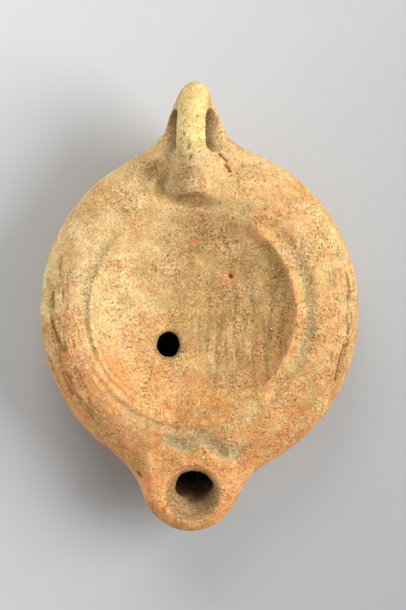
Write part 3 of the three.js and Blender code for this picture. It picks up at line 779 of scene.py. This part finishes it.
def lamp_clay():
    piece = even_skin()
    mesh = piece.data
    points = points_of(mesh)
    inside = inside_share(mesh, points, normals_of(mesh))
    store_values(mesh, "inside", inside)
    soften_handle(piece)

    set_points(mesh, narrow_wick_hole(reshape_filling_hole(points_of(mesh))))
    outer = 1.0 - values_of(mesh, "inside")
    points = points_of(mesh)
    x, y, z = points.T
    normals = normals_of(mesh)
    relief = placed_relief(points) * outer * smooth_step(normals[:, 2], 0.05, 0.3)
    hollow = hollow_share(points, 1.0 - outer)
    set_points(mesh, points + normals * (relief * (1.0 - hollow))[:, None])
    # Painted shade in the handle's hollows and just outside the foot of its strap
    handle_hollow_shade = sum(mark_share(x, y, *place) for *place, depth in HANDLE_MARKS) + 0.5 * strap_drop_share(x, y)
    crack = 0.5 * seam_share(x, y) + 1.6 * crack_share(x, y, CRACK_STAIN_WIDTH)
    crack *= smooth_step(z, WIDEST_HEIGHT, WIDEST_HEIGHT + 2 * MM)
    crack += sum(mark_share(x, y, *place) for *place, depth in CRACKS)
    shares = {"silt": silt_share(points), "crest": crest_highlight_share(points), "wall": wall_share(x, y),
              "handle_hollow_shade": handle_hollow_shade, "crack": crack}
    for name, share in shares.items():
        store_values(mesh, name, np.clip(share, 0.0, 1.0) * outer)
    store_values(mesh, "hollow", hollow)

    run_geometry_tree(piece, clay_relief_tree(), {
        "Lump Height": 0.45 * MM,
        "Ring Mark Height": 0.32 * MM,
        "Brush Mark Height": 0.4 * MM,
        "Grain Height": 0.16 * MM,
        "Pit Depth": 0.22 * MM,
        "Discus Radius": DISCUS_RADIUS,
        "Widest Height": WIDEST_HEIGHT,
    })
    thin_skin(piece)
    mesh = piece.data
    set_points(mesh, np.clip(points_of(mesh), LOW, HIGH))
    mesh.polygons.foreach_set("use_smooth", [True] * len(mesh.polygons))
    mesh.materials.clear()
    mesh.materials.append(fired_clay())
    return piece


# Materials

def mottle_group():
    """Soft patches of one size, with a chosen cover and edge."""
    tree, given, out = new_group("mottle", "ShaderNodeTree", {
        "Vector": "Vector", "Frequency": "Float", "Low": "Float", "High": "Float",
    }, {"Mask": "Float"})
    patches = noise_out(tree, given["Vector"], given["Frequency"], 2.0, 0.6, 0.3)
    tree.links.new(step_out(tree, patches, given["Low"], given["High"]), out["Mask"])
    return tree


def grain_group():
    """The clay's grain: its tone, pale grit, dark pits, and the height of its rough face."""
    tree, given, out = new_group("clay_grain", "ShaderNodeTree", {
        "Vector": "Vector",
    }, {"Tone": "Float", "Pale": "Float", "Dark": "Float", "Height": "Float"})
    place = given["Vector"]

    def noise(size, detail, roughness, shift):
        return noise_out(tree, vector_out(tree, "ADD", place, shift), size * MM, detail, roughness)

    def spread(value, low, high):
        node = add_node(tree, "ShaderNodeMapRange",
                        {"Value": value, "From Min": 0.3, "From Max": 0.7, "To Min": low, "To Max": high})
        return node.outputs[0]

    fine = noise(0.5, 3.0, 0.7, (0.0, 0.0, 0.0))
    coarse = noise(1.5, 3.0, 0.65, (0.3, 0.1, 0.2))
    broad = noise(4.5, 2.0, 0.6, (0.2, 0.6, 0.1))
    # The face is rough and pitted in some places and rubbed smooth in others
    crowd = step_out(tree, noise(7.0, 3.0, 0.6, (0.5, 0.4, 0.0)), 0.36, 0.64)
    fine_strength = math_out(tree, "MULTIPLY_ADD", crowd, 0.5, 0.42)
    tone = math_out(tree, "MULTIPLY_ADD", spread(fine, -0.58, 0.42), fine_strength, 1.02)
    tone = times_out(tree, tone, spread(coarse, 0.87, 1.12), spread(broad, 0.88, 1.12))
    pits = noise(0.55, 2.0, 0.6, (0.0, 0.0, 0.17))
    pit_limit = math_out(tree, "MULTIPLY_ADD", crowd, -0.06, 0.665)
    dark = step_out(tree, math_out(tree, "SUBTRACT", pits, pit_limit), 0.0, 0.05)
    grit = noise(0.6, 1.0, 0.5, (0.11, 0.0, 0.0))
    pale = step_out(tree, grit, 0.69, 0.75)
    height = math_out(tree, "MULTIPLY_ADD", coarse, 0.9, fine)
    height = math_out(tree, "MULTIPLY_ADD", pale, 0.35, height)
    height = math_out(tree, "MULTIPLY_ADD", dark, -0.6, height)
    tree.links.new(tone, out["Tone"])
    tree.links.new(pale, out["Pale"])
    tree.links.new(dark, out["Dark"])
    tree.links.new(height, out["Height"])
    return tree


def striation_group():
    """Fine broken lines round the shoulder, where the two moulds' edges were smoothed down wet."""
    tree, given, out = new_group("striations", "ShaderNodeTree", {"Vector": "Vector"}, {"Line": "Float"})
    plan = vector_out(tree, "MULTIPLY", given["Vector"], (1 / BELLY_HALF_WIDTH, 1 / BELLY_HALF_LENGTH, 0.0))
    reach = vector_out(tree, "LENGTH", plan)
    parts = parts_out(tree, vector_out(tree, "NORMALIZE", plan))
    east = times_out(tree, parts[0], 2.6)
    north = times_out(tree, parts[1], 2.6)
    outwards = math_out(tree, "MULTIPLY_ADD", parts[1], 1.2, times_out(tree, reach, 42.0))
    ring_place = vector_from(tree, east, north, outwards)
    wave = noise_out(tree, ring_place, 1.0, 2.0, 0.5)
    off_line = math_out(tree, "ABSOLUTE", math_out(tree, "SUBTRACT", wave, 0.5))
    line = step_out(tree, off_line, 0.03, 0.006)
    broken = step_out(tree, noise_out(tree, given["Vector"], 3.5 * MM, 2.0), 0.42, 0.58)
    band = times_out(tree, step_out(tree, reach, 0.74, 0.84), step_out(tree, reach, 0.99, 0.96))
    left = step_out(tree, parts[0], -0.55, -0.85)
    right = times_out(tree, step_out(tree, parts[0], 0.75, 0.92), 0.7)
    side = times_out(tree, math_out(tree, "MAXIMUM", left, right), step_out(tree, parts[1], 0.5, 0.15))
    tree.links.new(times_out(tree, line, broken, band, side), out["Line"])
    return tree


def plain_material(name, roughness, shine):
    """A material and its one shader."""
    material = bpy.data.materials.new(name)
    material.use_nodes = True
    shader = material.node_tree.nodes["Principled BSDF"]
    shader.inputs["Roughness"].default_value = roughness
    shader.inputs["Specular IOR Level"].default_value = shine
    return material, shader


BUFF = linear(231, 190, 130)
PALE_BUFF = linear(255, 220, 160)
ORANGE = linear(226, 160, 96)
PALE_ORANGE = linear(252, 178, 112)
RED = linear(250, 148, 84)
PINK = linear(238, 168, 118)
STRAW = linear(252, 216, 132)
# Pale straw clay, brightened as painted light
PALE_STRAW_LIT = linear(255, 229, 156)
BROWN = linear(184, 140, 84)
OLIVE = linear(156, 126, 78)
SILT = linear(212, 190, 139)
OCHRE = linear(196, 130, 64)
GREY_WALL = linear(224, 194, 142)
PALE_PINK = linear(255, 212, 162)
# Pale clay of the strap, brightened as painted light
STRAP = linear(255, 224, 148)
GRIT = linear(255, 234, 182)
SAND = linear(255, 232, 168)
# Dark brown of the pits and cracks, also painted as shade under the nozzle's tip and in the fine relief's
# pits
PIT_AND_SHADE = linear(112, 78, 44)
# Brown painted as shade in the handle's hollows
HANDLE_SHADE_BROWN = linear(138, 104, 62)
HOLLOW = linear(178, 148, 104)
BORE = linear(128, 102, 68)
# Near black, painted as shade in the holes
HOLE_SHADE = linear(46, 36, 28)

# Places on the clay: east, north and reach in millimetres, and how much more orange
ORANGE_PATCHES = [
    (20.0, 23.0, 12.0, 0.5),
    (-25.5, -18.0, 14.0, 0.35),
    (-17.0, 4.0, 15.0, -0.25),
    (24.0, -2.0, 4.0, 0.35),
    (-35.0, -4.0, 5.0, 0.5),
    (-23.0, 28.0, 6.0, 0.35),
]
# The reddest places on the lower edges
RUST_PATCHES = [
    (-9.6, -46.8, 5.0),
    (-20.0, -33.5, 6.0),
    (22.0, -31.5, 6.5),
]
# Patches of other tints: their size in millimetres, between which noise values they fade in, where
# the noise is read, how strong they are, and the tint
TINT_PATCHES = [
    (4.5, 0.47, 0.68, (0.6, 0.2, 0.5), 0.5, PINK),
    (3.4, 0.5, 0.68, (0.1, 0.8, 0.6), 0.45, STRAW),
    (3.8, 0.51, 0.66, (0.2, 0.9, 0.5), 0.4, SILT),
]
# Stains in the dish and before it, and the handle's painted shadow at the top of the dish: east, north and
# reach, how strong each is, and its tint
DISH_STAINS_AND_SHADE = [
    # painted shadow of the handle on the top of the dish
    (-1.5, 18.0, 8.0, 0.4, BROWN),
    (-1.0, -22.5, 7.0, 0.34, OCHRE),
    (1.1, -28.6, 5.0, 0.3, OCHRE),
]
# Bare places, pale on the handle's strap and red in the dish; on the strap's foot the pale spot is also
# painted light
BARE_AND_LIT_SPOTS = [
    (0.6, 33.5, 6.0, 0.5, PALE_PINK),
    # pale clay on the strap's foot, brightened as painted light on its steep front
    (-2.8, 29.6, 3.2, 0.7, PALE_PINK),
    (-1.0, 16.4, 1.3, 0.7, RED),
    (7.2, 7.6, 3.0, 0.4, RED),
]


def fired_clay():
    """Unglazed clay, buff at the handle and fired orange at the nozzle, with soil in its hollows."""
    material, shader = plain_material("fired_clay", 0.9, 0.2)
    tree = material.node_tree
    place = add_node(tree, "ShaderNodeTexCoord").outputs["Object"]
    parts = parts_out(tree, place)
    plan = vector_from(tree, parts[0], parts[1])

    def stored(name):
        return add_node(tree, "ShaderNodeAttribute", attribute_name=name).outputs["Fac"]

    def mottle(size, low, high, shift):
        """Patches of a size in millimetres; shift moves the place where the noise is read."""
        moved = vector_out(tree, "ADD", place, shift)
        node = add_node(tree, "ShaderNodeGroup", node_tree=MOTTLE)
        tree.links.new(moved, node.inputs["Vector"])
        node.inputs["Frequency"].default_value = 1.0 / (size * MM)
        node.inputs["Low"].default_value = low
        node.inputs["High"].default_value = high
        return node.outputs["Mask"]

    def spot(east, north, reach):
        """1 at a plan place in millimetres, fading to 0 at its reach."""
        away = vector_out(tree, "DISTANCE", plan, (east * MM, north * MM, 0.0))
        return step_out(tree, away, reach * MM, reach * 0.3 * MM)

    def rise(part, none, full):
        """0 at one height or place along an axis and 1 at another, in millimetres."""
        return step_out(tree, part, none * MM, full * MM)

    def times(*factors):
        return times_out(tree, *factors)

    def tint(colour, share, amount, target):
        return mix_colour(tree, times(share, amount), colour, target)

    def spotted(colour, spots):
        for east, north, reach, amount, target in spots:
            colour = tint(colour, spot(east, north, reach), amount, target)
        return colour

    # How orange: more towards the nozzle, with some patches of their own
    orange = times(rise(parts[1], 24, -36), 0.95)
    for east, north, reach, amount in ORANGE_PATCHES:
        orange = math_out(tree, "MULTIPLY_ADD", spot(east, north, reach), amount, orange)
    patches = math_out(tree, "MULTIPLY_ADD", mottle(7.0, 0.36, 0.66, (0.0, 0.0, 0.0)), 0.5, -0.25)
    small_patches = math_out(tree, "MULTIPLY_ADD", mottle(1.8, 0.36, 0.66, (0.4, 0.2, 0.0)), 0.3, -0.15)
    orange = math_out(tree, "ADD", orange, patches)
    orange = math_out(tree, "ADD", orange, small_patches, clamp=True)
    colour = mix_colour(tree, orange, BUFF, ORANGE)

    # Paler to the left, redder at the nozzle's left, with patches of other tints all over
    left = rise(parts[0], 4, -30)
    colour = tint(colour, left, 0.68, mix_colour(tree, orange, PALE_BUFF, PALE_ORANGE))
    # The lamp's left edge: pale straw clay, brightened further as painted light
    lit_left_edge = times(rise(parts[0], -32, -37), rise(parts[1], -12, 4))
    colour = tint(colour, lit_left_edge, 0.85, PALE_STRAW_LIT)
    red = times(spot(-10.5, -44.0, 9.0), mottle(3.0, 0.3, 0.6, (0.5, 0.5, 0.1)))
    colour = tint(colour, red, 0.85, RED)
    rust = 0.0
    for east, north, reach in RUST_PATCHES:
        rust = math_out(tree, "MAXIMUM", rust, spot(east, north, reach))
    colour = tint(colour, times(rust, mottle(2.4, 0.28, 0.55, (0.9, 0.4, 0.2))), 0.6, RED)
    for *pattern, amount, target in TINT_PATCHES:
        colour = tint(colour, mottle(*pattern), amount, target)
    colour = tint(colour, rise(parts[1], -30, -37), 0.5, PALE_ORANGE)

    # Brown stain and streaks in the dish with the handle's painted shadow at its top, painted shade in the
    # handle's hollows, grey silt in the grooves
    dish = times(spot(6.0, 3.0, 25.0), mottle(8.0, 0.34, 0.6, (0.1, 0.7, 0.0)))
    colour = tint(colour, dish, 0.4, BROWN)
    colour = spotted(colour, DISH_STAINS_AND_SHADE)
    streak_place = vector_out(tree, "MULTIPLY", plan, (1 / (1.5 * MM), 1 / (15 * MM), 0.0))
    streaks = step_out(tree, noise_out(tree, streak_place, 1.0, 3.0, 0.6), 0.46, 0.62)
    colour = tint(colour, times(streaks, spot(10.0, -5.0, 20.0)), 0.55, OLIVE)
    colour = tint(colour, times(stored("handle_hollow_shade"), mottle(3.0, 0.2, 0.45, (0.3, 0.3, 0.9))), 0.6, HANDLE_SHADE_BROWN)
    # Paler crest round the dish: painted highlight along the ridge
    crest = times(stored("crest"), mottle(2.6, 0.3, 0.6, (0.3, 0.8, 0.8)))
    colour = tint(colour, crest, 0.42, mix_colour(tree, left, PALE_ORANGE, PALE_BUFF))
    silt = times(stored("silt"), mottle(3.5, 0.22, 0.4, (0.7, 0.0, 0.3)))
    colour = tint(colour, silt, 0.82, SILT)
    # The strap's top: pale clay, brightened further as painted light
    strap = times(rise(parts[2], 27, 32), rise(parts[1], 29, 39))
    colour = tint(colour, strap, 0.8, STRAP)
    colour = spotted(colour, BARE_AND_LIT_SPOTS)
    colour = tint(colour, stored("wall"), 0.6, GREY_WALL)

    # The holes' walls, and painted shade on the nozzle's tip below its edge
    hollow = stored("hollow")
    colour = tint(colour, hollow, 0.9, HOLLOW)
    colour = tint(colour, times(hollow, mottle(1.5, 0.45, 0.6, (0.8, 0.1, 0.4))), 0.45, OLIVE)
    colour = tint(colour, times(hollow, rise(parts[1], 36, 39)), 0.7, BORE)
    tip_underside_shade = times(rise(parts[1], -40, -45), rise(parts[2], 18.5, 15.5))
    colour = tint(colour, tip_underside_shade, 0.85, PIT_AND_SHADE)

    # Grit, pits and cracks
    grain = add_node(tree, "ShaderNodeGroup", node_tree=GRAIN)
    tree.links.new(place, grain.inputs["Vector"])
    # Dark specks look browner and pale ones whiter, so blue changes most and red least
    tone = grain.outputs["Tone"]
    shade = add_node(tree, "ShaderNodeCombineColor",
                     {0: tone, 1: math_out(tree, "POWER", tone, 1.25), 2: math_out(tree, "POWER", tone, 1.8)})
    colour = mix_colour(tree, 1.0, colour, shade.outputs[0], "MULTIPLY")
    colour = tint(colour, grain.outputs["Pale"], 0.6, GRIT)
    # The left half is the smoother one
    smooth_left = math_out(tree, "MULTIPLY_ADD", left, -0.3, 1.0)
    dark_amount = times(math_out(tree, "MULTIPLY_ADD", strap, -0.35, 0.75), smooth_left)
    colour = tint(colour, grain.outputs["Dark"], dark_amount, PIT_AND_SHADE)
    # Painted shade in the pits of the fine relief
    colour = tint(colour, step_out(tree, stored("fine_relief"), -0.1, -0.24), 0.38, PIT_AND_SHADE)
    striation = add_node(tree, "ShaderNodeGroup", node_tree=STRIATION)
    tree.links.new(place, striation.inputs["Vector"])
    colour = tint(colour, striation.outputs["Line"], 0.6, PIT_AND_SHADE)
    colour = tint(colour, stored("crack"), 0.8, PIT_AND_SHADE)
    # Painted shade on the side of the wick hole towards the dish, and deep in all the holes
    far_side_shade = times(rise(parts[2], 20.5, 15.5), rise(parts[1], -45.5, -41), rise(parts[1], 0, -30))
    colour = tint(colour, times(hollow, far_side_shade), 0.45, HOLE_SHADE)
    colour = tint(colour, times(hollow, rise(parts[2], 17, 11)), 0.9, HOLE_SHADE)

    height = math_out(tree, "MULTIPLY_ADD", striation.outputs["Line"], -0.8, grain.outputs["Height"])
    height = times(height, smooth_left, BUMP_HEIGHT)
    bump = add_node(tree, "ShaderNodeBump", {"Strength": 1.0, "Distance": 1.0, "Height": height})
    tree.links.new(colour, shader.inputs["Base Color"])
    tree.links.new(bump.outputs[0], shader.inputs["Normal"])
    return material


def pale_sand():
    material, shader = plain_material("pale_sand", 0.7, 0.3)
    shader.inputs["Base Color"].default_value = SAND
    return material


# Table, light and camera

def table():
    half = TABLE_HALF_WIDTH
    mesh = bpy.data.meshes.new("table")
    mesh.from_pydata([(-half, -half, 0), (half, -half, 0), (half, half, 0), (-half, half, 0)], [],
                     [(0, 1, 2, 3)])
    piece = link_object("table", mesh)
    mesh.materials.append(pale_paper())


def pale_paper():
    """The backdrop, with painted light falloff: a little darker towards the viewer and to the right, as in
    the photograph.
    """
    material, shader = plain_material("pale_paper", 0.9, 0.2)
    tree = material.node_tree
    place = add_node(tree, "ShaderNodeTexCoord").outputs["Object"]
    fall = vector_out(tree, "DOT_PRODUCT", place, PAPER_LIGHT_FALLOFF)
    tone = math_out(tree, "MULTIPLY_ADD", fall, PAPER_TONE, PAPER_TONE)
    tones = {0: times_out(tree, tone, PAPER_TINT[0]), 1: times_out(tree, tone, PAPER_TINT[1]), 2: tone}
    colour = add_node(tree, "ShaderNodeCombineColor", tones).outputs[0]
    tree.links.new(colour, shader.inputs["Base Color"])
    return material


def soft_light(name, azimuth, elevation, size, power):
    """A round soft light that looks at the lamp, placed by its direction in degrees."""
    light = bpy.data.lights.new(name, "AREA")
    light.shape = "DISK"
    light.size = size
    light.energy = power
    piece = bpy.data.objects.new(name, light)
    turn, rise = math.radians(azimuth), math.radians(elevation)
    way = Vector((math.cos(rise) * math.cos(turn), math.cos(rise) * math.sin(turn), math.sin(rise)))
    piece.location = way * LIGHT_DISTANCE
    piece.rotation_euler = (-way).to_track_quat("-Z", "Y").to_euler()
    bpy.context.scene.collection.objects.link(piece)


def studio():
    """A wide soft light from the right, a lesser one from beyond the handle, and pale walls."""
    for light in LIGHTS:
        soft_light(*light)
    world = bpy.data.worlds.new("studio")
    world.use_nodes = True
    background = world.node_tree.nodes["Background"].inputs
    background["Color"].default_value = (1.0, 1.0, 1.0, 1.0)
    background["Strength"].default_value = WORLD_STRENGTH
    bpy.context.scene.world = world
    bpy.context.scene.view_settings.view_transform = "Standard"


def camera():
    lens = bpy.data.cameras.new("camera")
    lens.sensor_fit = "VERTICAL"
    lens.sensor_height = SENSOR_HEIGHT
    lens.lens = SENSOR_HEIGHT * (CAMERA_HEIGHT - WIDEST_HEIGHT) / (FRAME_HEIGHT * PIXEL)
    lens.clip_start = 0.01
    piece = bpy.data.objects.new("camera", lens)
    piece.location = (*FRAME_MIDDLE, CAMERA_HEIGHT)
    bpy.context.scene.collection.objects.link(piece)
    bpy.context.scene.camera = piece


MOTTLE = mottle_group()
GRAIN = grain_group()
STRIATION = striation_group()

camera()
studio()
table()

clay = lamp_clay()
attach(clay, "root")
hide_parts("lamp")

sand = sand_grains(clay)
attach(sand, "root")
